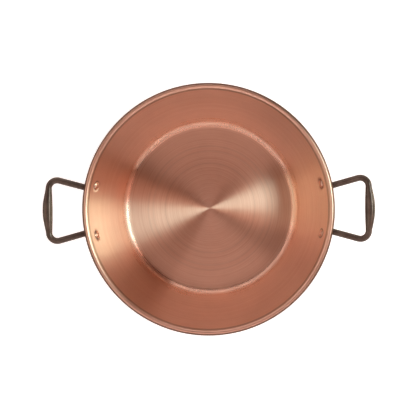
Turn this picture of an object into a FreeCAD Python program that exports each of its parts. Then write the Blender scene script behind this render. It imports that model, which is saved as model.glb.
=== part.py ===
"""Round copper preserving pan: a flared bowl with a wired rim and two riveted loop handles.

The bowl is one sheet of copper, spun to a flat base and a conical wall, whose edge is curled
outwards round a steel wire. A cast-iron loop handle stands on each side. Each of its two feet
has a pad that follows the wall, held by one copper rivet that passes through pad and wall.

Frame, in millimetres: the origin is the middle of the base's underside, +Z is up along the
bowl's axis, and the handles point along -X (left) and +X (right). The front is -Y.
"""

import FreeCAD
import Part
import math
import os

from FreeCAD import Vector

# Driving dimensions.
RIM_DIAMETER = 380.0  # over the rolled rim
HEIGHT = 120.0  # from the base's underside to the top of the rim
FLARE = 20.9  # the wall's lean from upright, in degrees
SHEET = 1.5  # thickness of the copper sheet
BASE_CORNER = 13.0  # inside radius between base and wall
WIRE_RADIUS = 3.05  # steel wire in the rim
WIRE_PLAY = 0.05  # between the wire and the curl round it
CURL_TURN = 300.0  # how far the sheet goes round the wire, in degrees

RIVET_DEPTH = 21.0  # from the rim's top to the rivets, on the wall's inside
RIVET_SPACING = 74.8  # between the two rivets of a handle
RIVET_RADIUS = 3.0
HOLE_PLAY = 0.05  # between a rivet's shank and its hole
INNER_HEAD_RADIUS = 6.0
INNER_HEAD_HEIGHT = 2.8
OUTER_HEAD_RADIUS = 4.8
OUTER_HEAD_HEIGHT = 2.4

HANDLE_TILT = 9.0  # the loop's rise from level, in degrees
ROOT_HEIGHT = 103.6  # of the arms' centre line where it leaves the wall
ROOT_HALF_SPREAD = 31.8  # of the arms there
ARM_SPLAY = 15.3  # each arm's angle from straight outwards, in degrees
ARM_BURIED = 8.0  # what each arm starts with inside the wall, and is cut off there
GRIP_REACH = 240.6  # from the bowl's axis to the grip's centre line at the corners
GRIP_BOW = 2.0  # how far the grip's middle stands outside that line
GRIP_SWELL_POWER = 1.25  # how evenly the swelling is spread along the grip
GRIP_STEPS = 5  # sections from the grip's middle to a corner
CORNER_RADIUS = 12.5  # of the loop's centre line
ARM_WIDTH = 9.8
ARM_THICKNESS = 8.6
GRIP_WIDTH = 15.4
GRIP_THICKNESS = 11.0
PAD_THICKNESS = 4.5
PAD_RIVET_RADIUS = 10.5  # of the pad's round end, about the rivet
PAD_ROOT_RADIUS = 6.3  # of its narrow end, about the arm
PAD_EDGE = 1.2  # rounding of its outer edge
PAD_BURIED = 3.0  # what each pad starts with inside the wall, and is cut off there
DRILL_OVERRUN = 5.0  # how far a drill comes out at both ends of its hole
TRIM_BOTTOM = 50.0  # height where the cone that trims the handles to the wall begins

# Worked out from them.
BEAD_RADIUS = WIRE_RADIUS + WIRE_PLAY + SHEET
RIM_RADIUS = RIM_DIAMETER / 2
LEAN = math.radians(FLARE)
BEAD_R = RIM_RADIUS - BEAD_RADIUS
BEAD_Z = HEIGHT - BEAD_RADIUS
TILT = math.radians(HANDLE_TILT)
SPLAY = math.radians(ARM_SPLAY)

PARTS_FOLDER = "parts"
UP = Vector(0, 0, 1)
AXIS_POINT = Vector(0, 0, 0)


def at(radius, height):
    """A point of the bowl's half section, which lies in the plane y = 0."""
    return Vector(radius, 0, height)


def inwards():
    """The wall's normal on its inside, in the half section."""
    return at(-math.cos(LEAN), math.sin(LEAN))


def wall_radius(height):
    """Radius of the wall's inside at a height."""
    tangent = at(BEAD_R, BEAD_Z) + inwards() * BEAD_RADIUS
    return tangent.x - (tangent.z - height) * math.tan(LEAN)


def arc(centre, radius, start, end):
    """An arc of the half section about centre, and its two ends. The angles are in degrees from +X."""
    places = []
    for angle in (start, (start + end) / 2, end):
        turn = math.radians(angle)
        places.append(centre + at(math.cos(turn), math.sin(turn)) * radius)
    return Part.Arc(*places).toShape(), places[0], places[-1]


def line(start, end):
    """A straight edge."""
    return Part.LineSegment(start, end).toShape()


def bowl_sheet():
    """The bowl before its rivet holes: base, corner, wall and curl as one turned sheet."""
    bead = at(BEAD_R, BEAD_Z)
    face_in = 180.0 - FLARE
    face_out = face_in - CURL_TURN
    play_radius = WIRE_RADIUS + WIRE_PLAY
    corner_z = SHEET + BASE_CORNER
    corner_r = wall_radius(corner_z) - BASE_CORNER / math.cos(LEAN)
    corner = at(corner_r, corner_z)
    outer_corner, low_out, high_out = arc(corner, BASE_CORNER + SHEET, -90.0, -FLARE)
    curl_inside, wall_out, curl_end_in = arc(bead, play_radius, face_in, face_out)
    curl_outside, curl_end_out, wall_in = arc(bead, BEAD_RADIUS, face_out, face_in)
    inner_corner, high_in, low_in = arc(corner, BASE_CORNER, -FLARE, -90.0)
    edges = [
        line(at(0, 0), low_out),
        outer_corner,
        line(high_out, wall_out),
        curl_inside,
        line(curl_end_in, curl_end_out),
        curl_outside,
        line(wall_in, high_in),
        inner_corner,
        line(low_in, at(0, SHEET)),
        line(at(0, SHEET), at(0, 0)),
    ]
    section = Part.Face(Part.Wire(edges))
    halves = []
    for _ in range(2):
        halves.append(section.revolve(AXIS_POINT, UP, 180))
        section = section.rotated(AXIS_POINT, UP, 180)
    return halves[0].fuse(halves[1])


def rim_wire():
    """The steel ring inside the curl."""
    return Part.makeTorus(BEAD_R, WIRE_RADIUS, at(0, BEAD_Z), UP)


class RivetPlace:
    """Where one rivet crosses the wall: its point on the wall's inside and its own axes."""

    def __init__(self, side, end):
        height = HEIGHT - RIVET_DEPTH
        radius = wall_radius(height)
        turn = math.asin(RIVET_SPACING / 2 / radius)
        outwards = Vector(side * math.cos(turn), end * math.sin(turn), 0)
        self.end = end
        self.point = outwards * radius + UP * height
        self.out = outwards * math.cos(LEAN) - UP * math.sin(LEAN)
        self.along = UP.cross(outwards)  # level, round the bowl
        self.up = self.out.cross(self.along)

    def turned(self, edges):
        """A solid turned about the rivet's axis, from a half section whose height 0 is the
        wall's inside and whose height grows outwards."""
        solid = Part.Face(Part.Wire(edges)).revolve(AXIS_POINT, UP, 360)
        solid.Placement = FreeCAD.Placement(self.point, FreeCAD.Rotation(UP, self.out))
        return solid

    def hole(self):
        """What the drill takes out of the wall and of a pad."""
        radius = RIVET_RADIUS + HOLE_PLAY
        first = -DRILL_OVERRUN
        last = SHEET + PAD_THICKNESS + DRILL_OVERRUN
        corners = [at(0, first), at(radius, first), at(radius, last), at(0, last)]
        return self.turned(Part.makePolygon(corners + corners[:1]).Edges)


def dome(radius, height, base, direction):
    """The outline of a domed head from its rim to its tip, which bulges along direction (1 or -1)."""
    ball = (radius * radius + height * height) / (2 * height)
    centre = base - direction * (ball - height)
    half = math.asin(radius / ball) / 2
    rim, tip = at(radius, base), at(0, base + direction * height)
    middle = at(ball * math.sin(half), centre + direction * ball * math.cos(half))
    return Part.Arc(rim, middle, tip).toShape(), rim, tip


def rivet(place, bowl):
    """One copper rivet, with a low dome inside the bowl and a smaller peened one on the pad."""
    inner, inner_rim, inner_tip = dome(INNER_HEAD_RADIUS, INNER_HEAD_HEIGHT, 0.0, -1)
    seat = SHEET + PAD_THICKNESS
    outer, outer_rim, outer_tip = dome(OUTER_HEAD_RADIUS, OUTER_HEAD_HEIGHT, seat, 1)
    shank_in, shank_out = at(RIVET_RADIUS, 0), at(RIVET_RADIUS, seat)
    edges = [
        inner,
        line(inner_rim, shank_in),
        line(shank_in, shank_out),
        line(shank_out, outer_rim),
        outer,
        line(outer_tip, inner_tip),
    ]
    return place.turned(edges).cut(bowl)


def oval(point, across, width, thickness):
    """An oval section of a handle, its width along across and its thickness upright."""
    edge = Part.Ellipse(point + across * (width / 2), point + UP * (thickness / 2), point)
    return Part.Wire(edge.toShape())


def half_loop(reach):
    """The arm and the corner of a handle on its +Y end, and where its grip begins."""
    slope = Vector(math.cos(SPLAY), math.sin(SPLAY), 0)
    across = Vector(slope.y, -slope.x, 0)
    turn = 90 + ARM_SPLAY
    setback = CORNER_RADIUS * math.tan(math.radians(turn / 2))
    root = Vector(0, ROOT_HALF_SPREAD, 0)
    arm_end = root + slope * (reach / math.cos(SPLAY) - setback)
    start = root - slope * ARM_BURIED
    bar = Part.Face(oval(start, across, ARM_WIDTH, ARM_THICKNESS)).extrude(arm_end - start)
    centre = arm_end + across * CORNER_RADIUS
    bend = Part.Face(oval(arm_end, across, ARM_WIDTH, ARM_THICKNESS)).revolve(centre, -UP, turn)
    return bar.fuse(bend), centre.y


def grip(reach, half_length):
    """The swollen bar between the corners."""
    sections = []
    for step in range(-GRIP_STEPS, GRIP_STEPS + 1):
        share = step / GRIP_STEPS
        swell = (1 - share * share) ** GRIP_SWELL_POWER
        point = Vector(reach + GRIP_BOW * swell, half_length * share, 0)
        width = ARM_WIDTH + (GRIP_WIDTH - ARM_WIDTH) * swell
        thickness = ARM_THICKNESS + (GRIP_THICKNESS - ARM_THICKNESS) * swell
        sections.append(oval(point, Vector(1, 0, 0), width, thickness))
    return Part.makeLoft(sections, True, False)


def loop():
    """The bent bar of a handle in its own plane, x outwards from the wall and y along the grip.
    Both ends are left long inside the wall."""
    reach = (GRIP_REACH - wall_radius(ROOT_HEIGHT)) / math.cos(TILT)
    rear, half_length = half_loop(reach)
    front = rear.mirror(AXIS_POINT, Vector(0, 1, 0))
    return grip(reach, half_length).fuse([rear, front])


def pad(place, root):
    """The foot of one arm: a drop-shaped plate about the rivet, drawn up to the arm's root."""
    offset = root - place.point
    top = Vector(offset.dot(place.along), offset.dot(place.up), 0)
    distance = top.Length
    heading = math.atan2(top.y, top.x)
    spread = math.acos((PAD_RIVET_RADIUS - PAD_ROOT_RADIUS) / distance)

    def spot(centre, radius, angle):
        """A point of the pad's outline, at a radius and an angle about a centre of the outline."""
        flat = centre + Vector(math.cos(angle), math.sin(angle), 0) * radius
        return place.point + place.along * flat.x + place.up * flat.y

    low = Vector(0, 0, 0)
    left, right = heading + spread, heading - spread
    edges = [
        line(spot(low, PAD_RIVET_RADIUS, right), spot(top, PAD_ROOT_RADIUS, right)),
        Part.Arc(
            spot(top, PAD_ROOT_RADIUS, right),
            spot(top, PAD_ROOT_RADIUS, heading),
            spot(top, PAD_ROOT_RADIUS, left),
        ).toShape(),
        line(spot(top, PAD_ROOT_RADIUS, left), spot(low, PAD_RIVET_RADIUS, left)),
        Part.Arc(
            spot(low, PAD_RIVET_RADIUS, left),
            spot(low, PAD_RIVET_RADIUS, heading + math.pi),
            spot(low, PAD_RIVET_RADIUS, right),
        ).toShape(),
    ]
    face = Part.Face(Part.Wire(edges))
    face.translate(place.out * -PAD_BURIED)
    plate = face.extrude(place.out * (PAD_BURIED + SHEET + PAD_THICKNESS))
    outer_face = max(plate.Faces, key=lambda f: (f.CenterOfMass - place.point).dot(place.out))
    return plate.makeFillet(PAD_EDGE, outer_face.Edges)


def handle(side, places):
    """One cast handle: the loop and its two pads, cut to the wall's outside and drilled."""
    bar = loop()
    bar.rotate(AXIS_POINT, Vector(0, 1, 0), -HANDLE_TILT)
    bar.translate(at(wall_radius(ROOT_HEIGHT), ROOT_HEIGHT))
    if side < 0:
        bar.rotate(AXIS_POINT, UP, 180)
    feet = []
    for place in places:
        root = at(side * wall_radius(ROOT_HEIGHT), ROOT_HEIGHT)
        root.y = place.end * ROOT_HALF_SPREAD
        feet.append(pad(place, root))
    skin = SHEET / math.cos(LEAN)
    low_radius = wall_radius(TRIM_BOTTOM) + skin
    high_radius = wall_radius(HEIGHT) + skin
    inside = Part.makeCone(low_radius, high_radius, HEIGHT - TRIM_BOTTOM, at(0, TRIM_BOTTOM), UP)
    cast = bar.fuse(feet).cut(inside)
    for place in places:
        cast = cast.cut(place.hole())
    return max(cast.Solids, key=lambda s: s.Volume).removeSplitter()


def main():
    """Builds every part, prints its size and writes its STEP file."""
    os.makedirs(PARTS_FOLDER, exist_ok=True)
    sides = {"left": -1, "right": 1}
    ends = {"front": -1, "rear": 1}
    places = {(s, e): RivetPlace(sides[s], ends[e]) for s in sides for e in ends}
    bowl = bowl_sheet()
    for place in places.values():
        bowl = bowl.cut(place.hole())
    shapes = {"pan_bowl": bowl, "rim_wire": rim_wire()}
    for name, side in sides.items():
        shapes["handle_" + name] = handle(side, [places[name, e] for e in ends])
    for (side, end), place in places.items():
        shapes["rivet_" + side + "_" + end] = rivet(place, bowl)
    for name, shape in shapes.items():
        box = shape.BoundBox
        print(
            f"{name}: solids {len(shape.Solids)}, valid {shape.isValid()}, volume {shape.Volume:.0f},"
            f" x {box.XMin:.1f}..{box.XMax:.1f}, y {box.YMin:.1f}..{box.YMax:.1f},"
            f" z {box.ZMin:.1f}..{box.ZMax:.1f}"
        )
        shape.exportStep(os.path.join(PARTS_FOLDER, name + ".step"))


main()
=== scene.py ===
"""Looks of a round copper preserving pan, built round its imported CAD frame.

The bowl, its wired rim, the two cast handles and the four rivets are each rebuilt as a fine mesh
in the place that the frame gives, and dressed with procedural copper, cast iron and steel.
Lengths are in metres. The bowl's axis is Z, and the handles lie on the X axis.
"""

from __future__ import annotations

import logging
import math
from dataclasses import dataclass, field
from enum import Enum, IntEnum
from typing import Any, Sequence, Union

import bmesh
import bpy
from mathutils import Matrix, Vector, noise


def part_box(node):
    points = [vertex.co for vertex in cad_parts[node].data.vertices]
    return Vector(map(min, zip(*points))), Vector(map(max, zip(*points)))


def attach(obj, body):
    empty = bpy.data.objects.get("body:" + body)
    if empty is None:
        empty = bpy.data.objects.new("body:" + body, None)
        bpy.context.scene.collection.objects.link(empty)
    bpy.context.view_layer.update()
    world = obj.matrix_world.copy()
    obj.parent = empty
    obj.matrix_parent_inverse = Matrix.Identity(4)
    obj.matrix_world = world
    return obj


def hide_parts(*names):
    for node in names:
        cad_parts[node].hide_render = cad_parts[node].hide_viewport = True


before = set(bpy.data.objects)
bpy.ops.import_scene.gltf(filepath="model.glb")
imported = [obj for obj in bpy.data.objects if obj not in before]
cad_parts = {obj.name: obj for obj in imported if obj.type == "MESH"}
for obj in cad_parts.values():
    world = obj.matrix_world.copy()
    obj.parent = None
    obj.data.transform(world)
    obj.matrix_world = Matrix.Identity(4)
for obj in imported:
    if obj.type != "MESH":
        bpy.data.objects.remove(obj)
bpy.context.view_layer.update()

LOG = logging.getLogger("copper_pan")
MM = 0.001
NEAR_ZERO = 1e-4  # keeps a shader's division off zero
UP = Vector((0.0, 0.0, 1.0))

Colour = tuple[float, float, float]
Stops = Sequence[tuple[float, Union[float, Colour]]]


class Side(Enum):
    """The two handles' sides of the bowl, as the sign of X."""

    LEFT = -1
    RIGHT = 1


class End(Enum):
    """The two ends of a handle, as the sign of Y."""

    FRONT = -1
    REAR = 1


class Skin(IntEnum):
    """The bowl's three finishes, as the number of each in its list of materials."""

    INSIDE = 0
    BEAD = 1
    OUTSIDE = 2


# Shader expressions


class Kind(Enum):
    """What a shader socket carries."""

    NUMBER = "number"
    COLOUR = "colour"
    VECTOR = "vector"


class Signal:
    """A node's output socket, with arithmetic that adds the node for each operator."""

    def __init__(self, graph: Graph, socket: bpy.types.NodeSocket, kind: Kind) -> None:
        """Wraps a socket.

        Args:
            graph: The graph that the socket's node is in.
            socket: The output socket.
            kind: What it carries.
        """
        self.graph = graph
        self.socket = socket
        self.kind = kind

    def _join(self, operation: str, first: Operand, second: Operand) -> Signal:
        """Adds the node for one operator.

        Args:
            operation: The operation's name, such as ADD.
            first: Its left operand.
            second: Its right operand.

        Returns:
            The result, a colour if either operand is one and else a number.
        """
        kinds = {o.kind for o in (first, second) if isinstance(o, Signal)}
        if Kind.COLOUR in kinds:
            return self.graph.mix_colours(operation, 1.0, first, second)
        return self.graph.maths(operation, first, second)

    def __add__(self, other: Operand) -> Signal:
        """Returns self + other."""
        return self._join("ADD", self, other)

    def __radd__(self, other: Operand) -> Signal:
        """Returns other + self."""
        return self._join("ADD", other, self)

    def __sub__(self, other: Operand) -> Signal:
        """Returns self - other."""
        return self._join("SUBTRACT", self, other)

    def __rsub__(self, other: Operand) -> Signal:
        """Returns other - self."""
        return self._join("SUBTRACT", other, self)

    def __mul__(self, other: Operand) -> Signal:
        """Returns self * other."""
        return self._join("MULTIPLY", self, other)

    def __truediv__(self, other: Operand) -> Signal:
        """Returns self / other."""
        return self._join("DIVIDE", self, other)


Operand = Union[Signal, float, Colour, Vector]
Sockets = dict[Union[str, int], Operand]


@dataclass(frozen=True)
class Grain:
    """The measures of a noise."""

    scale: float  # features per unit of the place that it is read at
    octaves: float
    roughness: float = 0.5  # how strong the finer octaves are


class Graph:
    """The node tree of a material or of the world."""

    def __init__(self, owner: bpy.types.Material | bpy.types.World) -> None:
        """Empties a node tree.

        Args:
            owner: The material or world that it belongs to.
        """
        owner.use_nodes = True
        self.owner = owner
        self.tree = owner.node_tree
        self.tree.nodes.clear()

    @classmethod
    def of_material(cls, name: str) -> Graph:
        """Returns the empty graph of a new material."""
        return cls(bpy.data.materials.new(name))

    def add(
        self,
        node_type: str,
        settings: dict[str, Any] | None = None,
        sockets: Sockets | None = None,
    ) -> bpy.types.Node:
        """Adds a node.

        Args:
            node_type: The node's type name.
            settings: Its properties, set first. stops sets a colour ramp's stops.
            sockets: The values or links of its inputs, by name or number.

        Returns:
            The node.
        """
        node = self.tree.nodes.new(node_type)
        for key, value in (settings or {}).items():
            if key == "stops":
                self._set_stops(node.color_ramp, value)
            else:
                setattr(node, key, value)
        for key, value in (sockets or {}).items():
            target = node.inputs[key]
            if isinstance(value, Signal):
                self.tree.links.new(value.socket, target)
            elif target.type == "RGBA" and len(value) == 3:
                target.default_value = (*value, 1.0)
            else:
                target.default_value = value
        return node

    @staticmethod
    def _set_stops(ramp: bpy.types.ColorRamp, stops: Stops) -> None:
        """Gives a ramp its stops, each a position and a grey level or a colour."""
        while len(ramp.elements) < len(stops):
            ramp.elements.new(1.0)
        for element, (position, level) in zip(ramp.elements, stops):
            colour = (level, level, level) if isinstance(level, (int, float)) else level
            element.position = position
            element.color = (*colour, 1.0)

    def number(self, node: bpy.types.Node, output: str | int = 0) -> Signal:
        """Returns a node's output as a number."""
        return Signal(self, node.outputs[output], Kind.NUMBER)

    def colour(self, node: bpy.types.Node, output: str | int = 0) -> Signal:
        """Returns a node's output as a colour."""
        return Signal(self, node.outputs[output], Kind.COLOUR)

    def vector(self, node: bpy.types.Node, output: str | int = 0) -> Signal:
        """Returns a node's output as a vector."""
        return Signal(self, node.outputs[output], Kind.VECTOR)

    def maths(self, operation: str, *operands: Operand) -> Signal:
        """Adds a Math node.

        Args:
            operation: Its operation.
            operands: Its inputs, in order.

        Returns:
            Its result.
        """
        node = self.add("ShaderNodeMath", {"operation": operation}, dict(enumerate(operands)))
        return self.number(node)

    def mix_colours(self, blend: str, factor: Operand, first: Operand, second: Operand) -> Signal:
        """Adds a colour Mix node.

        Args:
            blend: Its blend type, such as MIX or MULTIPLY.
            factor: How much of the blend shows.
            first: The colour below.
            second: The colour above, or a number that multiplies evenly.

        Returns:
            The mixed colour.
        """
        if isinstance(second, (int, float)):
            second = (second, second, second)
        settings = {"data_type": "RGBA", "blend_type": blend}
        sockets: Sockets = {"Factor": factor, 6: first, 7: second}
        return self.colour(self.add("ShaderNodeMix", settings, sockets), 2)

    def blend(self, factor: Signal, first: Operand, second: Operand) -> Signal:
        """Returns first where factor is 0 and second where it is 1, for numbers."""
        settings = {"data_type": "FLOAT"}
        sockets: Sockets = {"Factor": factor, 2: first, 3: second}
        return self.number(self.add("ShaderNodeMix", settings, sockets))

    def step(self, value: Signal, low: float, high: float) -> Signal:
        """Returns 0 below low, 1 above high and a smooth rise between them."""
        settings = {"interpolation_type": "SMOOTHSTEP"}
        sockets: Sockets = {"Value": value, "From Min": low, "From Max": high}
        return self.number(self.add("ShaderNodeMapRange", settings, sockets))

    def noise(self, place: Signal, grain: Grain) -> Signal:
        """Returns a noise from 0 to 1.

        Args:
            place: Where it is read.
            grain: How fine and how rough it is.

        Returns:
            The noise.
        """
        sockets: Sockets = {
            "Vector": place,
            "Scale": grain.scale,
            "Detail": grain.octaves,
            "Roughness": grain.roughness,
        }
        return self.number(self.add("ShaderNodeTexNoise", {"noise_dimensions": "3D"}, sockets))

    def position(self) -> Signal:
        """Returns the shaded point in the object's own coordinates."""
        return self.vector(self.add("ShaderNodeTexCoord"), "Object")

    def combine(self, x: Operand, y: Operand, z: Operand) -> Signal:
        """Returns a vector from its three parts."""
        return self.vector(self.add("ShaderNodeCombineXYZ", None, {0: x, 1: y, 2: z}))

    def separate(self, vector: Signal) -> tuple[Signal, Signal, Signal]:
        """Returns a vector's three parts."""
        node = self.add("ShaderNodeSeparateXYZ", None, {0: vector})
        return self.number(node, 0), self.number(node, 1), self.number(node, 2)

    def distance(self, first: Signal, second: Operand) -> Signal:
        """Returns the distance between two points."""
        settings = {"operation": "DISTANCE"}
        return self.number(self.add("ShaderNodeVectorMath", settings, {0: first, 1: second}), "Value")

    def bump(self, height: Signal, depth: float = 1.0) -> Signal:
        """Returns the normal of a relief.

        Args:
            height: The relief.
            depth: The metres that a height of 1 stands for.

        Returns:
            The normal.
        """
        sockets: Sockets = {"Height": height, "Distance": depth, "Strength": 1.0}
        return self.vector(self.add("ShaderNodeBump", None, sockets))

    def finish(self, constants: dict[str, Any], varying: dict[str, Operand]) -> bpy.types.Material:
        """Adds the surface shader and ends the graph.

        Args:
            constants: The shader's sockets that are the same all over.
            varying: The shader's sockets that change over the surface.

        Returns:
            The material.
        """
        shader = self.add("ShaderNodeBsdfPrincipled", None, {**constants, **varying})
        self.add("ShaderNodeOutputMaterial", None, {"Surface": self.colour(shader)})
        return self.owner


# Finishes


@dataclass(frozen=True)
class Zone:
    """A band of the turned copper, from one radius outwards, with its own roughness."""

    start: float
    fade: float
    roughness: float


@dataclass(frozen=True)
class Mark:
    """A darker ring painted into the turned copper: a line that the turning tool left, and the painted
    shade in the groove under the bead.
    """

    radius: float
    shade: float  # how much of the light it takes away
    core: float = 0.3 * MM
    width: float = 2.2 * MM


@dataclass(frozen=True)
class Dent:
    """The shallow hollow that a rivet's hammering leaves round its head, with painted shade round the
    head's foot, the same in each quarter.
    """

    point: Vector
    inner: float = 5.4 * MM
    outer: float = 11.0 * MM
    depth: float = 0.55 * MM
    painted_shade_span: tuple[float, float] = (6.2 * MM, 8.6 * MM)  # where the painted shade round the head is full and where it ends
    shade: float = 0.58  # how much of the light the painted shade takes away


@dataclass(frozen=True)
class TarnishAndShade:
    """Unpolished brown copper with painted shade, outwards of one circle and below one level: it darkens
    the bead's outer side and underside.
    """

    radius: tuple[float, float]  # where it starts and where it is full
    height: tuple[float, float]  # where it is full and where it ends
    tint: Colour
    roughness: float


@dataclass(frozen=True)
class Finish:
    """What every metal here has: a name, a bright and a dark tint and a roughness."""

    name: str
    tint: Colour
    dark_tint: Colour
    roughness: float

    def mixed(self, graph: Graph, share: Signal) -> Signal:
        """Returns the dark tint where share is 0 and the bright one where it is 1."""
        return graph.mix_colours("MIX", share, self.dark_tint, self.tint)


@dataclass(frozen=True)
class TurnedCopper(Finish):
    """Bare copper that was spun and brushed on a lathe, so its marks run round the axis."""

    anisotropy: float
    ring_depth: float
    zones: tuple[Zone, ...] = ()
    marks: tuple[Mark, ...] = ()
    dent: Dent | None = None
    tarnish_and_shade: TarnishAndShade | None = None
    rings: Grain = Grain(460.0, 6.0, 0.62)
    broad_rings: Grain = Grain(60.0, 3.0, 0.6)
    arcs: Grain = Grain(1.0, 3.0, 0.7)
    arc_turn: float = 1.6  # arcs per radian round the axis
    arc_run: float = 900.0  # arcs per metre across the marks
    stains: Grain = Grain(14.0, 4.0, 0.6)
    wear_levels: tuple[float, float] = (0.39, 0.61)  # of the marks, at the dark and the bright tint
    stain_levels: tuple[float, float] = (0.3, 0.75)
    stain_shade: float = 0.07
    wear_mix: tuple[float, float, float] = (0.50, 0.22, 0.28)  # of rings, broad rings and arcs
    relief_mix: tuple[float, float] = (0.6, 0.4)  # of rings and arcs
    swing: tuple[float, float] = (0.10, 0.05)  # of the roughness, with rings and with stains
    grain_turn: float = 0.25  # turns from the tangent to the way that the copper stretches a highlight

    def material(self) -> bpy.types.Material:
        """Returns the copper, with rings, short arcs of brush marks and faint stains."""
        graph = Graph.of_material(self.name)
        place = graph.position()
        x, y, z = graph.separate(place)
        radius = graph.maths("SQRT", x * x + y * y)
        run = radius + z
        safe_radius = radius + NEAR_ZERO
        round_x = x / safe_radius * self.arc_turn
        round_y = y / safe_radius * self.arc_turn
        rings = graph.noise(graph.combine(0.0, 0.0, run), self.rings)
        broad_rings = graph.noise(graph.combine(0.3, 0.7, run), self.broad_rings)
        arcs = graph.noise(graph.combine(round_x, round_y, run * self.arc_run), self.arcs)
        stains = graph.noise(place, self.stains)
        worn = rings * self.wear_mix[0] + broad_rings * self.wear_mix[1] + arcs * self.wear_mix[2]
        wear = graph.step(worn, *self.wear_levels)
        tint = self.mixed(graph, wear)
        unstained_unshaded = graph.step(stains, *self.stain_levels)
        tint = tint * (1 - self.stain_shade + unstained_unshaded * self.stain_shade)
        roughness: Operand = self.roughness
        for zone in self.zones:
            share = graph.step(radius, zone.start, zone.start + zone.fade)
            roughness = graph.blend(share, roughness, zone.roughness)
        roughness = roughness + (rings - 0.5) * self.swing[0] + (stains - 0.5) * self.swing[1]
        relief = (rings * self.relief_mix[0] + arcs * self.relief_mix[1]) * self.ring_depth
        # darker rings: the turning tool's lines, and the painted shade of the groove under the bead
        for mark in self.marks:
            share = 1 - graph.step(graph.maths("ABSOLUTE", radius - mark.radius), mark.core, mark.width)
            tint = tint * (1 - share * mark.shade)
        if self.dent:
            quarter = graph.combine(graph.maths("ABSOLUTE", x), graph.maths("ABSOLUTE", y), z)
            away = graph.distance(quarter, self.dent.point)
            hollow = graph.step(away, self.dent.inner, self.dent.outer)
            relief = relief + hollow * self.dent.depth
            # painted shade round each rivet head's foot, full next to the head and gone further out
            unstained_unshaded = graph.step(away, *self.dent.painted_shade_span)
            tint = tint * (1 - self.dent.shade + unstained_unshaded * self.dent.shade)
        # brown oxide and painted shade on the bead's outer side and underside
        if self.tarnish_and_shade:
            outwards = graph.step(radius, *self.tarnish_and_shade.radius)
            share = graph.maths("MAXIMUM", outwards, 1 - graph.step(z, *self.tarnish_and_shade.height))
            tint = graph.mix_colours("MIX", share, tint, self.tarnish_and_shade.tint)
            roughness = graph.blend(share, roughness, self.tarnish_and_shade.roughness)
        constants = {
            "Metallic": 1.0,
            "Anisotropic": self.anisotropy,
            "Anisotropic Rotation": self.grain_turn,
        }
        varying = {"Base Color": tint, "Roughness": roughness, "Normal": graph.bump(relief)}
        return graph.finish(constants, varying)


@dataclass(frozen=True)
class BeatenCopper(Finish):
    """Copper that a hammer closed, with soft facets."""

    facets: Grain = Grain(420.0, 1.0)
    pores: Grain = Grain(2600.0, 3.0)
    depth: float = 0.35 * MM
    facet_levels: tuple[float, float] = (0.35, 0.65)  # at the dark and the bright tint
    relief_mix: tuple[float, float] = (0.8, 0.2)  # of facets and pores
    swing: float = 0.15  # of the roughness, with pores

    def material(self) -> bpy.types.Material:
        """Returns the copper, with hammer facets and darker hollows."""
        graph = Graph.of_material(self.name)
        place = graph.position()
        facets = graph.noise(place, self.facets)
        pores = graph.noise(place, self.pores)
        tint = self.mixed(graph, graph.step(facets, *self.facet_levels))
        roughness = self.roughness + (pores - 0.5) * self.swing
        normal = graph.bump(facets * self.relief_mix[0] + pores * self.relief_mix[1], self.depth)
        varying = {"Base Color": tint, "Roughness": roughness, "Normal": normal}
        return graph.finish({"Metallic": 1.0}, varying)


@dataclass(frozen=True)
class CastIron(Finish):
    """Dark cast iron with the fine grain of a sand mould and a brown bloom."""

    sand: Grain = Grain(1500.0, 4.0, 0.6)
    lumps: Grain = Grain(260.0, 3.0, 0.55)
    bloom: Grain = Grain(55.0, 4.0, 0.6)
    depth: float = 0.12 * MM
    metallic: float = 0.25
    gloss_tint: Colour = (1.0, 0.68, 0.58)  # of the brown film on the iron
    bloom_levels: tuple[float, float] = (0.35, 0.7)  # at the dark and the bright tint
    sand_levels: tuple[float, float] = (0.35, 0.65)
    sand_light: tuple[float, float] = (0.8, 0.3)  # in the pits, and added on the grains
    relief_mix: tuple[float, float] = (0.35, 0.65)  # of sand and lumps
    swing: tuple[float, float] = (0.16, 0.10)  # of the roughness, with sand and with lumps

    def material(self) -> bpy.types.Material:
        """Returns the iron, with sand grain, shallow pits and a brown bloom."""
        graph = Graph.of_material(self.name)
        place = graph.position()
        sand = graph.noise(place, self.sand)
        lumps = graph.noise(place, self.lumps)
        bloom = graph.noise(place, self.bloom)
        tint = self.mixed(graph, graph.step(bloom, *self.bloom_levels))
        tint = tint * (self.sand_light[0] + graph.step(sand, *self.sand_levels) * self.sand_light[1])
        roughness = self.roughness + (sand - 0.5) * self.swing[0] + (lumps - 0.5) * self.swing[1]
        normal = graph.bump(sand * self.relief_mix[0] + lumps * self.relief_mix[1], self.depth)
        constants = {"Metallic": self.metallic, "Specular Tint": self.gloss_tint}
        varying = {"Base Color": tint, "Roughness": roughness, "Normal": normal}
        return graph.finish(constants, varying)


@dataclass(frozen=True)
class DrawnSteel(Finish):
    """Steel wire with fine marks."""

    marks: Grain = Grain(900.0, 3.0)
    depth: float = 0.05 * MM
    swing: float = 0.2  # added to the roughness on the marks

    def material(self) -> bpy.types.Material:
        """Returns the steel."""
        graph = Graph.of_material(self.name)
        marks = graph.noise(graph.position(), self.marks)
        tint = self.mixed(graph, marks)
        roughness = self.roughness + marks * self.swing
        normal = graph.bump(marks, self.depth)
        varying = {"Base Color": tint, "Roughness": roughness, "Normal": normal}
        return graph.finish({"Metallic": 1.0}, varying)


# Mesh helpers


def on_circle(centre: tuple[float, float], radius: float, angle: float) -> tuple[float, float]:
    """Returns the point of a circle at an angle."""
    return centre[0] + radius * math.cos(angle), centre[1] + radius * math.sin(angle)


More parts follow.
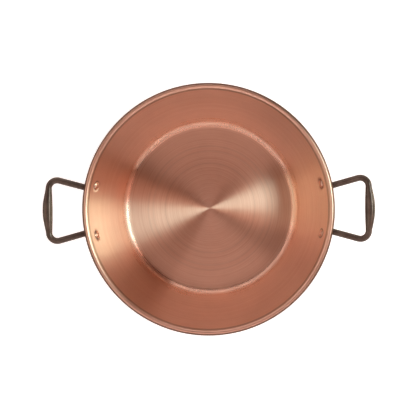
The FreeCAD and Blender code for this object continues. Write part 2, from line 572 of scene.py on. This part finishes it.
@dataclass
class Outline:
    """A closed half section in radius and height, each stretch with the material it gets."""

    points: list[tuple[float, float]] = field(default_factory=list)
    marks: list[int] = field(default_factory=list)

    def point(self, radius: float, height: float, mark: int = 0) -> None:
        """Adds a point, and the mark of the stretch that starts there."""
        self.points.append((radius, height))
        self.marks.append(mark)

    def run(self, end: tuple[float, float], steps: int, mark: int = 0) -> None:
        """Adds a straight stretch from the last point.

        Args:
            end: Where it ends, in radius and height.
            steps: How many pieces it has.
            mark: The material of the stretch.
        """
        start = self.points[-1]
        self.marks[-1] = mark
        for step in range(1, steps + 1):
            share = step / steps
            radius = start[0] + (end[0] - start[0]) * share
            self.point(radius, start[1] + (end[1] - start[1]) * share, mark)

    def arc(
        self,
        centre: tuple[float, float],
        radius: float,
        turn: tuple[float, float],
        steps: int,
        mark: int = 0,
    ) -> None:
        """Adds an arc from the last point.

        Args:
            centre: Its centre, in radius and height.
            radius: Its radius.
            turn: Its first and last angle, in radians from outwards.
            steps: How many pieces it has.
            mark: The material of the stretch.
        """
        self.marks[-1] = mark
        for step in range(1, steps + 1):
            angle = turn[0] + (turn[1] - turn[0]) * step / steps
            self.point(*on_circle(centre, radius, angle), mark)


def lathe(outline: Outline, segments: int) -> bmesh.types.BMesh:
    """Turns an outline that starts and ends on the axis about Z.

    Args:
        outline: The half section.
        segments: How many pieces a turn has.

    Returns:
        The closed mesh, with the outline's marks as material numbers.
    """
    mesh = bmesh.new()
    rings: list[list[bmesh.types.BMVert]] = []
    for radius, height in outline.points:
        if radius == 0.0:
            rings.append([mesh.verts.new((0.0, 0.0, height))])
            continue
        ring = []
        for segment in range(segments):
            angle = 2 * math.pi * segment / segments
            ring.append(mesh.verts.new((radius * math.cos(angle), radius * math.sin(angle), height)))
        rings.append(ring)
    for index, (low, high) in enumerate(zip(rings, rings[1:])):
        for segment in range(segments):
            after = (segment + 1) % segments
            if len(low) == 1:
                corners = [low[0], high[after], high[segment]]
            elif len(high) == 1:
                corners = [low[segment], low[after], high[0]]
            else:
                corners = [low[segment], low[after], high[after], high[segment]]
            mesh.faces.new(corners).material_index = outline.marks[index]
    bmesh.ops.recalc_face_normals(mesh, faces=mesh.faces)
    return mesh


def tube(sections: Sequence[Sequence[Vector]], closed: bool) -> bmesh.types.BMesh:
    """Skins a row of sections with the same number of points.

    Args:
        sections: The sections, in order.
        closed: True if the last joins the first, and False if both ends are capped.

    Returns:
        The closed mesh.
    """
    mesh = bmesh.new()
    rings = [[mesh.verts.new(point) for point in section] for section in sections]
    pairs = list(zip(rings, rings[1:]))
    if closed:
        pairs.append((rings[-1], rings[0]))
    else:
        mesh.faces.new(rings[0])
        mesh.faces.new(rings[-1])
    for low, high in pairs:
        for index in range(len(low)):
            after = (index + 1) % len(low)
            mesh.faces.new((low[index], low[after], high[after], high[index]))
    bmesh.ops.recalc_face_normals(mesh, faces=mesh.faces)
    return mesh


def make_object(
    name: str, mesh: bmesh.types.BMesh, materials: Sequence[bpy.types.Material]
) -> bpy.types.Object:
    """Puts a mesh in the scene as a smooth object.

    Args:
        name: The object's name.
        mesh: Its mesh, which is freed.
        materials: Its materials, in the order of the faces' material numbers.

    Returns:
        The object.
    """
    for face in mesh.faces:
        face.smooth = True
    data = bpy.data.meshes.new(name)
    mesh.to_mesh(data)
    mesh.free()
    for material in materials:
        data.materials.append(material)
    made = bpy.data.objects.new(name, data)
    bpy.context.scene.collection.objects.link(made)
    return made


def hand_over(piece: bpy.types.Object, node: str) -> None:
    """Lets a finished piece stand for its CAD node.

    Args:
        piece: The piece.
        node: The CAD node.
    """
    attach(piece, "root")
    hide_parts(node)
    LOG.info("%s: %d faces, for %s", piece.name, len(piece.data.polygons), node)


def keep_modifiers(piece: bpy.types.Object) -> None:
    """Applies an object's modifiers to its mesh."""
    graph = bpy.context.evaluated_depsgraph_get()
    data = bpy.data.meshes.new_from_object(piece.evaluated_get(graph))
    piece.modifiers.clear()
    piece.data = data


# The bowl and its wire


@dataclass
class Bowl:
    """The spun bowl with its rolled rim, and the wire in it."""

    sheet: float = 1.5 * MM
    base_corner: float = 13.0 * MM
    lean: float = math.radians(20.9)
    curl_turn: float = math.radians(300.0)
    lip: float = 0.6 * MM  # how far the bead's last stretch runs on down the wall
    segments: int = 400
    wire_segments: int = 360
    wire_sides: int = 20
    rim_radius: float = field(init=False)
    height: float = field(init=False)
    wire_radius: float = field(init=False)
    bead_radius: float = field(init=False)
    bead_z: float = field(init=False)

    def __post_init__(self) -> None:
        """Reads the rim's sizes from the frame."""
        _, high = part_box("pan_bowl")
        wire_low, wire_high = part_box("rim_wire")
        self.rim_radius = high.x
        self.height = high.z
        self.wire_radius = (wire_high.z - wire_low.z) / 2
        self.bead_z = (wire_high.z + wire_low.z) / 2
        self.bead_radius = self.height - self.bead_z

    @property
    def bead_circle(self) -> float:
        """Radius of the circle that the wire's middle lies on."""
        return self.rim_radius - self.bead_radius

    def inner_radius(self, height: float) -> float:
        """Radius of the wall's inside at a height."""
        tangent_r = self.bead_circle - self.bead_radius * math.cos(self.lean)
        tangent_z = self.bead_z + self.bead_radius * math.sin(self.lean)
        return tangent_r - (tangent_z - height) * math.tan(self.lean)

    def outer_radius(self, height: float) -> float:
        """Radius of the wall's outside at a height."""
        return self.inner_radius(height) + self.sheet / math.cos(self.lean)

    def outline(self) -> Outline:
        """Returns the bowl's half section, from the middle of the underside round the rim."""
        corner_z = self.sheet + self.base_corner
        corner_r = self.inner_radius(corner_z) - self.base_corner / math.cos(self.lean)
        corner, bead = (corner_r, corner_z), (self.bead_circle, self.bead_z)
        face_in = math.pi - self.lean
        face_out = face_in - self.curl_turn
        hollow = self.bead_radius - self.sheet
        down, low = -math.pi / 2, -self.lean
        outline = Outline()
        outline.point(0.0, 0.0)
        outline.run((corner_r, 0.0), 24, Skin.OUTSIDE)
        outline.arc(corner, self.base_corner + self.sheet, (down, low), 14, Skin.OUTSIDE)
        outline.run(on_circle(bead, hollow, face_in), 40, Skin.OUTSIDE)
        outline.arc(bead, hollow, (face_in, face_out), 30, Skin.OUTSIDE)
        outline.run(on_circle(bead, self.bead_radius, face_out), 2, Skin.BEAD)
        outline.arc(bead, self.bead_radius, (face_out, face_in), 44, Skin.BEAD)
        tangent = outline.points[-1]
        lip = on_circle(tangent, self.lip, down - self.lean)
        outline.run(lip, 1, Skin.INSIDE)
        outline.run(on_circle(corner, self.base_corner, low), 44, Skin.INSIDE)
        outline.arc(corner, self.base_corner, (low, down), 16, Skin.INSIDE)
        outline.run((0.0, self.sheet), 30, Skin.INSIDE)
        return outline

    def build(
        self, inside: bpy.types.Material, bead: bpy.types.Material, outside: bpy.types.Material
    ) -> None:
        """Builds the bowl.

        Args:
            inside: The brushed copper of the inside.
            bead: The copper of the rolled rim.
            outside: The copper of the outside.
        """
        mesh = lathe(self.outline(), self.segments)
        piece = make_object("spun_bowl", mesh, (inside, bead, outside))
        hand_over(piece, "pan_bowl")

    def build_wire(self, steel: bpy.types.Material) -> None:
        """Builds the wire in the rim, a butted ring."""
        sections = []
        for step in range(self.wire_segments):
            turn = 2 * math.pi * step / self.wire_segments
            outwards = Vector((math.cos(turn), math.sin(turn), 0.0))
            ring = []
            for index in range(self.wire_sides):
                angle = 2 * math.pi * index / self.wire_sides
                reach, rise = on_circle((self.bead_circle, self.bead_z), self.wire_radius, angle)
                ring.append(outwards * reach + UP * rise)
            sections.append(ring)
        piece = make_object("wire_ring", tube(sections, True), (steel,))
        hand_over(piece, "rim_wire")


# Rivets


@dataclass
class Rivet:
    """One copper rivet: a low dome inside the bowl, and a peened head on the handle's pad."""

    side: Side
    end: End
    bowl: Bowl
    depth: float = 21.0 * MM
    spacing: float = 74.8 * MM
    shank_radius: float = 3.0 * MM
    head_radius: float = 6.0 * MM
    head_height: float = 2.8 * MM
    peen_radius: float = 4.8 * MM
    peen_height: float = 2.4 * MM
    pad_thickness: float = 4.5 * MM
    dome_edge: float = 0.12  # height of a dome's upright edge, as a share of its height
    dome_power: float = 2.2  # how flat a dome's crown is
    dome_fall: float = 0.9  # how steep its side is
    undercut: float = 0.985  # radius where the inner dome meets the wall, as a share of its own
    facet_scale: float = 330.0  # hammer marks per metre
    facet_depth: float = 0.02  # as a share of the distance from the axis
    seed: tuple[float, float, float] = (7.3, 3.1, 1.7)  # spreads the four rivets over the noise
    segments: int = 64
    dome_steps: int = 12
    point: Vector = field(init=False)
    out: Vector = field(init=False)
    along: Vector = field(init=False)

    def __post_init__(self) -> None:
        """Works out where the rivet crosses the wall."""
        height = self.bowl.height - self.depth
        radius = self.bowl.inner_radius(height)
        turn = math.asin(self.spacing / 2 / radius)
        outwards = Vector((self.side.value * math.cos(turn), self.end.value * math.sin(turn), 0.0))
        lean = self.bowl.lean
        self.point = outwards * radius + UP * height
        self.out = outwards * math.cos(lean) - UP * math.sin(lean)
        self.along = UP.cross(outwards)

    @property
    def label(self) -> str:
        """The rivet's side and end in words."""
        return f"{self.side.name.lower()}_{self.end.name.lower()}"

    def frame(self) -> Matrix:
        """Returns the rivet's place: Z outwards, with height 0 on the wall's inside."""
        turn = Matrix((self.along, self.out.cross(self.along), self.out)).transposed()
        return Matrix.Translation(self.point) @ turn.to_4x4()

    def outline(self) -> Outline:
        """Returns the half section, from the dome's tip inside to the peened tip outside."""
        seat = self.bowl.sheet + self.pad_thickness
        outline = Outline()
        for reach, rise in self.dome(self.head_radius, self.head_height):
            outline.point(reach, -rise)
        outline.point(self.head_radius * self.undercut, 0.0)
        outline.run((self.shank_radius, 0.0), 3)
        outline.run((self.shank_radius, seat), 6)
        outline.run((self.peen_radius, seat), 2)
        for reach, rise in reversed(self.dome(self.peen_radius, self.peen_height)):
            outline.point(reach, seat + rise)
        return outline

    def dome(self, radius: float, height: float) -> list[tuple[float, float]]:
        """Returns a head's points above its seat, from its tip to its rim.

        Args:
            radius: The head's radius.
            height: The head's height.

        Returns:
            Each point's distance from the axis and its height.
        """
        edge = self.dome_edge * height
        points = []
        for step in range(self.dome_steps + 1):
            spread = math.sin(step / self.dome_steps * math.pi / 2)
            crown = (1 - spread**self.dome_power) ** self.dome_fall
            points.append((radius * spread, edge + (height - edge) * crown))
        return points

    def build(self, copper: bpy.types.Material) -> None:
        """Builds the rivet, with small facets from the hammer."""
        mesh = lathe(self.outline(), self.segments)
        seed = Vector((self.side.value * self.seed[0], self.end.value * self.seed[1], self.seed[2]))
        for vert in mesh.verts:
            if vert.co.z < 0 or vert.co.z > self.bowl.sheet + self.pad_thickness:
                beat = noise.noise(vert.co * self.facet_scale + seed)
                vert.co += Vector((vert.co.x, vert.co.y, 0.0)) * (self.facet_depth * beat)
        mesh.transform(self.frame())
        bmesh.ops.recalc_face_normals(mesh, faces=mesh.faces)
        piece = make_object(f"rivet_copper_{self.label}", mesh, (copper,))
        hand_over(piece, f"rivet_{self.label}")


# Handles


@dataclass
class Handle:
    """One cast loop with a swollen grip and two feet that follow the wall."""

    side: Side
    bowl: Bowl
    rivets: Sequence[Rivet]
    tilt: float = math.radians(9.0)
    root_height: float = 103.6 * MM
    root_spread: float = 31.8 * MM
    splay: float = math.radians(15.3)
    grip_reach: float = 240.6 * MM
    grip_bow: float = 2.0 * MM
    corner_radius: float = 12.5 * MM
    arm: tuple[float, float] = (9.8 * MM, 8.6 * MM)
    grip: tuple[float, float] = (15.4 * MM, 11.0 * MM)
    swell_power: float = 1.25
    buried: float = 8.0 * MM
    pad_rivet_radius: float = 10.5 * MM
    pad_root_radius: float = 6.3 * MM
    pad_buried: float = 3.0 * MM
    pad_edge: float = 1.0 * MM  # the bevel round a pad's face
    play: float = 0.05 * MM  # between the casting and the wall
    arm_steps: int = 16
    corner_steps: int = 14
    grip_steps: int = 26
    sides: int = 36
    pad_steps: int = 20
    voxel: float = 0.6 * MM
    smoothing: float = 0.5
    smooth_rounds: int = 8

    def centre_line(self) -> list[tuple[Vector, Vector, float, float]]:
        """Returns the loop's stations in its own plane: point, direction, width, thickness."""
        reach = (self.grip_reach - self.bowl.inner_radius(self.root_height)) / math.cos(self.tilt)
        slope = Vector((math.cos(self.splay), math.sin(self.splay), 0.0))
        across = Vector((slope.y, -slope.x, 0.0))
        turn = math.pi / 2 + self.splay
        root = Vector((0.0, self.root_spread, 0.0))
        length = reach / math.cos(self.splay) - self.corner_radius * math.tan(turn / 2)
        arm_end = root + slope * length
        start = root - slope * self.buried
        centre = arm_end + across * self.corner_radius
        stations = []
        for step in range(self.arm_steps):
            stations.append((start.lerp(arm_end, step / self.arm_steps), slope, *self.arm))
        for step in range(self.corner_steps):
            angle = turn * step / self.corner_steps
            spin = Matrix.Rotation(-angle, 3, "Z")
            stations.append((centre + spin @ (arm_end - centre), spin @ slope, *self.arm))
        for step in range(self.grip_steps + 1):
            share = 1 - step / self.grip_steps
            swell = (1 - share * share) ** self.swell_power
            point = Vector((reach + self.grip_bow * swell, centre.y * share, 0.0))
            width = self.arm[0] + (self.grip[0] - self.arm[0]) * swell
            thickness = self.arm[1] + (self.grip[1] - self.arm[1]) * swell
            stations.append((point, Vector((0.0, -1.0, 0.0)), width, thickness))
        mirrored = []
        for point, heading, width, thickness in reversed(stations[:-1]):
            back = Vector((-heading.x, heading.y, 0.0))
            mirrored.append((Vector((point.x, -point.y, 0.0)), back, width, thickness))
        return stations + mirrored

    def loop(self) -> bmesh.types.BMesh:
        """Returns the bent bar in place, with both ends inside the wall."""
        sections = []
        for point, heading, width, thickness in self.centre_line():
            across = Vector((heading.y, -heading.x, 0.0))
            ring = []
            for index in range(self.sides):
                angle = 2 * math.pi * index / self.sides
                offset = across * (width / 2 * math.cos(angle)) + UP * (thickness / 2 * math.sin(angle))
                ring.append(point + offset)
            sections.append(ring)
        mesh = tube(sections, False)
        place = Matrix.Translation((self.bowl.inner_radius(self.root_height), 0.0, self.root_height))
        mesh.transform(place @ Matrix.Rotation(-self.tilt, 4, "Y"))
        if self.side is Side.LEFT:
            mesh.transform(Matrix.Rotation(math.pi, 4, "Z"))
        return mesh

    def pad(self, rivet: Rivet) -> bmesh.types.BMesh:
        """Returns one foot: a drop-shaped plate about the rivet, drawn up to the arm's root."""
        root = Vector((
            self.side.value * self.bowl.inner_radius(self.root_height),
            rivet.end.value * self.root_spread,
            self.root_height,
        ))
        upright = rivet.out.cross(rivet.along)
        offset = root - rivet.point
        top = Vector((offset.dot(rivet.along), offset.dot(upright)))
        heading = math.atan2(top.y, top.x)
        spread = math.acos((self.pad_rivet_radius - self.pad_root_radius) / top.length)
        rim: list[tuple[Vector, Vector]] = []
        for centre, radius, first, last in (
            (top, self.pad_root_radius, heading - spread, heading + spread),
            (Vector((0.0, 0.0)), self.pad_rivet_radius, heading + spread, heading + 2 * math.pi - spread),
        ):
            for step in range(self.pad_steps + 1):
                angle = first + (last - first) * step / self.pad_steps
                ray = Vector((math.cos(angle), math.sin(angle)))
                rim.append((centre + ray * radius, ray))
        face = self.bowl.sheet + rivet.pad_thickness
        sections = []
        for level, inset in ((-self.pad_buried, 0.0), (face - self.pad_edge, 0.0), (face, self.pad_edge)):
            section = []
            for spot, ray in rim:
                flat = spot - ray * inset
                section.append(rivet.point + rivet.along * flat.x + upright * flat.y + rivet.out * level)
            sections.append(section)
        return tube(sections, False)

    def seat(self, mesh: bpy.types.Mesh) -> None:
        """Moves what is inside the wall out to its outer face, so that the feet lie on it."""
        lean = self.bowl.lean
        for vert in mesh.vertices:
            outwards = Vector((vert.co.x, vert.co.y, 0.0))
            radius = outwards.length
            outwards /= radius
            gap = (radius - self.bowl.outer_radius(vert.co.z)) * math.cos(lean)
            if gap < self.play:
                normal = outwards * math.cos(lean) - UP * math.sin(lean)
                vert.co += normal * (self.play - gap)

    def build(self, iron: bpy.types.Material) -> None:
        """Builds the casting: bar and feet joined, their meeting blended and their skin cast."""
        whole = bmesh.new()
        for part in (self.loop(), *(self.pad(rivet) for rivet in self.rivets)):
            data = bpy.data.meshes.new("part")
            part.to_mesh(data)
            part.free()
            whole.from_mesh(data)
            bpy.data.meshes.remove(data)
        label = self.side.name.lower()
        piece = make_object(f"handle_cast_{label}", whole, (iron,))
        remesh = piece.modifiers.new("join", "REMESH")
        remesh.mode = "VOXEL"
        remesh.voxel_size = self.voxel
        remesh.use_smooth_shade = True
        smooth = piece.modifiers.new("blend", "SMOOTH")
        smooth.factor = self.smoothing
        smooth.iterations = self.smooth_rounds
        keep_modifiers(piece)
        self.seat(piece.data)
        hand_over(piece, f"handle_{label}")


# Studio


@dataclass(frozen=True)
class Softbox:
    """A rectangular light that faces the pan."""

    name: str
    azimuth: float  # degrees from +X towards +Y
    elevation: float  # degrees above the rim's plane
    distance: float
    width: float
    height: float
    radiance: float
    tint: Colour

    def build(self, target: Vector) -> None:
        """Adds the light.

        Args:
            target: The point that it faces.
        """
        data = bpy.data.lights.new(self.name, "AREA")
        data.shape = "RECTANGLE"
        data.size = self.width
        data.size_y = self.height
        data.color = self.tint
        data.energy = self.radiance * math.pi * self.width * self.height
        light = bpy.data.objects.new(self.name, data)
        bpy.context.scene.collection.objects.link(light)
        turn, rise = math.radians(self.azimuth), math.radians(self.elevation)
        ray = Vector((math.cos(turn) * math.cos(rise), math.sin(turn) * math.cos(rise), math.sin(rise)))
        light.location = target + ray * self.distance
        light.rotation_mode = "QUATERNION"
        light.rotation_quaternion = ray.to_track_quat("Z", "Y")


@dataclass(frozen=True)
class Panel:
    """A pale panel of the tent, with soft edges."""

    azimuth: float  # of its middle, in degrees from +X towards +Y
    half_width: float  # in degrees
    rise: tuple[float, float]  # its lower and upper edge, in degrees above the horizon
    colour: Colour
    softness: float = 1.5  # of its edges, in degrees

    def light(self, graph: Graph, heading: tuple[Signal, Signal], height: Signal) -> Signal:
        """Returns the panel's light in a direction.

        Args:
            graph: The world's graph.
            heading: The direction's level part, of length 1.
            height: The sine of its rise.

        Returns:
            The colour, black outside the panel.
        """
        turn = math.radians(self.azimuth)
        along = heading[0] * math.cos(turn) + heading[1] * math.sin(turn)
        outer = math.cos(math.radians(self.half_width + self.softness))
        inner = math.cos(math.radians(self.half_width - self.softness))
        share = graph.step(along, outer, inner)
        for edge, direction in zip(self.rise, (1, -1)):
            first = math.sin(math.radians(edge - direction * self.softness))
            last = math.sin(math.radians(edge + direction * self.softness))
            share = share * graph.step(height, first, last)
        return graph.mix_colours("MIX", share, (0.0, 0.0, 0.0), self.colour)


@dataclass
class Studio:
    """The floor, the lights and the camera."""

    bowl: Bowl
    camera_height: float = 1.636  # above the middle of the bead
    camera_shift: tuple[float, float] = (0.046, 0.034)
    look_at: tuple[float, float] = (-0.0002, 0.0023)
    roll: float = math.radians(0.48)
    lens: float = 94.3
    sensor: float = 36.0
    clip_end: float = 50.0
    floor_size: float = 12.0
    floor_grey: float = 0.9
    floor_roughness: float = 0.7
    floor_glow: float = 0.70
    tent: Stops = (
        (0.0, 0.40),
        (0.08, 0.30),
        (0.18, 0.03),
        (0.70, 0.02),
        (0.78, (0.22, 0.055, 0.03)),
        (0.90, (0.16, 0.045, 0.02)),
        (0.95, 0.0),
        (1.0, 0.0),
    )
    panels: tuple[Panel, ...] = (
        Panel(268.0, 60.0, (22.0, 29.0), (4.05, 3.75, 3.65)),
        Panel(265.0, 50.0, (58.0, 78.0), (1.45, 1.02, 0.93)),
        Panel(118.0, 55.0, (30.0, 44.0), (2.15, 1.85, 1.8)),
        Panel(186.0, 17.0, (33.0, 58.0), (1.05, 1.1, 0.95)),
        Panel(186.0, 22.0, (60.0, 78.0), (0.9, 0.5, 0.4)),
    )
    boxes: tuple[Softbox, ...] = (
        Softbox("key_box", 9.5, 53.0, 3.0, 0.95, 0.525, 13.0, (0.58, 0.96, 1.0)),
        Softbox("fill_box", 5.0, 51.0, 3.1, 2.18, 0.54, 3.7, (1.0, 0.52, 0.41)),
        Softbox("side_box", 8.0, 12.0, 3.0, 1.60, 0.525, 8.8, (0.86, 1.0, 0.78)),
    )

    def build(self) -> None:
        """Builds everything round the pan."""
        self.add_floor()
        self.add_world()
        target = Vector((0.0, 0.0, self.bowl.height / 2))
        for box in self.boxes:
            box.build(target)
        self.add_camera()

    def add_floor(self) -> None:
        """Adds the plain pale floor."""
        graph = Graph.of_material("pale_floor")
        constants = {
            "Base Color": (self.floor_grey,) * 3,
            "Roughness": self.floor_roughness,
            "Emission Color": (1.0, 1.0, 1.0),
            "Emission Strength": self.floor_glow,
        }
        material = graph.finish(constants, {})
        mesh = bmesh.new()
        bmesh.ops.create_grid(mesh, x_segments=8, y_segments=8, size=self.floor_size / 2)
        floor = make_object("floor", mesh, (material,))

    def add_world(self) -> None:
        """Adds a dim tent round the pan, with pale panels hung in it and an opening overhead."""
        world = bpy.data.worlds.new("studio")
        graph = Graph(world)
        x, y, height = graph.separate(graph.vector(graph.add("ShaderNodeTexCoord"), "Generated"))
        level = graph.maths("SQRT", x * x + y * y) + NEAR_ZERO
        light = graph.colour(graph.add("ShaderNodeValToRGB", {"stops": self.tent}, {0: height}))
        for panel in self.panels:
            light = light + panel.light(graph, (x / level, y / level), height)
        sky = graph.add("ShaderNodeBackground", None, {"Color": light, "Strength": 1.0})
        graph.add("ShaderNodeOutputWorld", None, {"Surface": graph.colour(sky)})
        bpy.context.scene.world = world

    def add_camera(self) -> None:
        """Adds the camera, which looks down into the pan."""
        data = bpy.data.cameras.new("camera")
        data.lens = self.lens
        data.sensor_width = self.sensor
        data.clip_end = self.clip_end
        camera = bpy.data.objects.new("camera", data)
        bpy.context.scene.collection.objects.link(camera)
        place = Vector((*self.camera_shift, self.bowl.bead_z + self.camera_height))
        target = Vector((*self.look_at, self.bowl.bead_z))
        back = (place - target).normalized()
        north = Matrix.Rotation(-self.roll, 3, "Z") @ Vector((0.0, 1.0, 0.0))
        right = north.cross(back).normalized()
        up = back.cross(right)
        camera.location = place
        camera.rotation_mode = "QUATERNION"
        camera.rotation_quaternion = Matrix((right, up, back)).transposed().to_quaternion()
        bpy.context.scene.camera = camera


@dataclass
class Pan:
    """The whole pan: it dresses the bowl and builds the pieces in order."""

    bowl: Bowl
    line_radii: tuple[float, ...] = (72.0 * MM, 91.5 * MM, 99.5 * MM)  # the turning tool's deeper lines
    line_shade: float = 0.06
    smooth_start: float = 84.0 * MM  # where the floor of the bowl gets smoother

    def groove(self) -> Mark:
        """Returns the painted shade in the groove between the wall and the bead, a dark ring painted into
        the copper.
        """
        return Mark(self.bowl.inner_radius(self.bowl.bead_z + 1.0 * MM), 0.36, 0.3 * MM, 1.7 * MM)

    def inside(self, dent: Dent) -> TurnedCopper:
        """Returns the copper of the inside.

        Args:
            dent: The hollow round each rivet's head.

        Returns:
            The finish, brushed coarsely on the floor and finely in the corner and up the wall.
        """
        corner = self.bowl.inner_radius(self.bowl.sheet + self.bowl.base_corner)
        return TurnedCopper(
            name="copper_inside",
            tint=(1.0, 0.675, 0.52),
            dark_tint=(0.89, 0.535, 0.385),
            roughness=0.41,
            anisotropy=1.0,
            ring_depth=0.02 * MM,
            zones=(
                Zone(self.smooth_start, 30.0 * MM, 0.34),
                Zone(corner - 14.0 * MM, 3.0 * MM, 0.28),
                Zone(corner + 1.0 * MM, 4.0 * MM, 0.33),
            ),
            marks=(*(Mark(radius, self.line_shade) for radius in self.line_radii), self.groove()),
            dent=dent,
        )

    def bead(self) -> TurnedCopper:
        """Returns the copper of the bead, with brown oxide and painted shade on its outer side and below.
        """
        circle, level = self.bowl.bead_circle, self.bowl.bead_z
        return TurnedCopper(
            name="copper_bead",
            tint=(0.98, 0.66, 0.51),
            dark_tint=(0.90, 0.57, 0.43),
            roughness=0.34,
            anisotropy=0.5,
            ring_depth=0.01 * MM,
            # the groove's painted shade on the bead's inner side
            marks=(self.groove(),),
            # brown oxide and painted shade that darken the bead's outer side and underside
            tarnish_and_shade=TarnishAndShade(
                radius=(circle + 0.9 * MM, circle + 2.5 * MM),
                height=(level - 1.5 * MM, level + 0.5 * MM),
                tint=(0.20, 0.10, 0.068),
                roughness=0.45,
            ),
        )

    def build(self) -> None:
        """Builds every piece of the pan."""
        rivets = {(side, end): Rivet(side, end, self.bowl) for side in Side for end in End}
        inside = self.inside(Dent(rivets[Side.RIGHT, End.REAR].point))
        outside = TurnedCopper(
            name="copper_outside",
            tint=(0.72, 0.41, 0.29),
            dark_tint=(0.50, 0.275, 0.19),
            roughness=0.34,
            anisotropy=0.7,
            ring_depth=0.02 * MM,
        )
        self.bowl.build(inside.material(), self.bead().material(), outside.material())
        steel = DrawnSteel("steel_wire", (0.55, 0.54, 0.53), (0.33, 0.324, 0.318), 0.3)
        self.bowl.build_wire(steel.material())
        beaten = BeatenCopper("copper_beaten", (1.0, 0.66, 0.51), (0.74, 0.43, 0.32), 0.30).material()
        for rivet in rivets.values():
            rivet.build(beaten)
        iron = CastIron("iron_cast", (0.150, 0.116, 0.096), (0.095, 0.071, 0.058), 0.20).material()
        for side in Side:
            Handle(side, self.bowl, [rivets[side, end] for end in End]).build(iron)


def main() -> None:
    """Builds the pan and the studio."""
    logging.basicConfig(level=logging.INFO, format="%(name)s: %(message)s")
    scene = bpy.context.scene
    scene.view_settings.view_transform = "Standard"
    bowl = Bowl()
    Pan(bowl).build()
    Studio(bowl).build()


if __name__ == "__main__":
    main()
